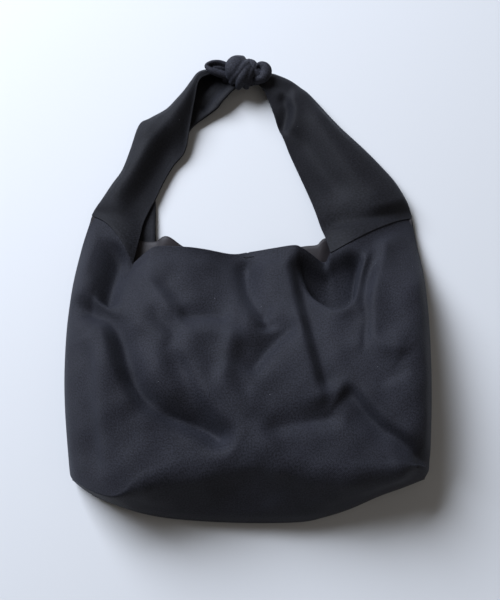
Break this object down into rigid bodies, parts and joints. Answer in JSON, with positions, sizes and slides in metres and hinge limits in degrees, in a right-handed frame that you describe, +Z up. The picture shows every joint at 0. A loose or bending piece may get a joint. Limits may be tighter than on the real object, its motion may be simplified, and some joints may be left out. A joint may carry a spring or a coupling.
{
  "type": "shoulder tote bag",
  "caption": "Soft lined shoulder tote of dark wool cloth lying on its back, with a wide strap on each side of the mouth, tied in a knot, and a magnetic snap.",
  "frame": {"origin": "middle of the bag's outline on the floor, under the back panel", "axes": "+Y from the base to the knot, +X to the right across the front, +Z up off the floor, out of the front"},
  "size_m": [0.44, 0.61, 0.0833],
  "materials": {
    "wool": "matte twill with a soft bluish sheen",
    "strap_wool": "matte twill with a soft bluish sheen",
    "lining": "brown-black satin",
    "snap": "nickel-plated steel"
  },
  "bodies": {
    "bag": {"front_panel": "wool", "back_panel": "wool", "front_lining": "lining", "back_lining": "lining", "snap_socket": "snap", "left_strap_base": "strap_wool", "left_strap_base_facing": "strap_wool", "right_strap_base": "strap_wool", "right_strap_base_facing": "strap_wool"},
    "mouth": {"front_mouth_panel": "wool", "front_mouth_lining": "lining", "snap_stud": "snap"},
    "strap": {"left_strap_arm": "strap_wool", "left_strap_facing": "strap_wool", "right_strap_arm": "strap_wool", "right_strap_facing": "strap_wool", "knot_core": "strap_wool", "knot_wrap": "strap_wool"},
    "left_tail": {"left_tail": "strap_wool"},
    "right_tail": {"right_tail": "strap_wool"}
  },
  "joints": [
    {"name": "mouth_open", "type": "hinge", "parent": "bag", "child": "mouth", "pos_m": [0, -0.125, 0.0755], "axis": [1, 0, 0], "range_deg": [0, 35]},
    {"name": "strap_fold", "type": "hinge", "parent": "bag", "child": "strap", "pos_m": [0, 0.091, 0.0202], "axis": [-1, 0, 0], "range_deg": [-145, 0]},
    {"name": "left_tail_lift", "type": "hinge", "parent": "strap", "child": "left_tail", "pos_m": [-0.0368, 0.289, 0.0275], "axis": [0, 1, 0], "range_deg": [0, 60]},
    {"name": "right_tail_lift", "type": "hinge", "parent": "strap", "child": "right_tail", "pos_m": [0.0178, 0.289, 0.0275], "axis": [0, -1, 0], "range_deg": [0, 60]}
  ]
}
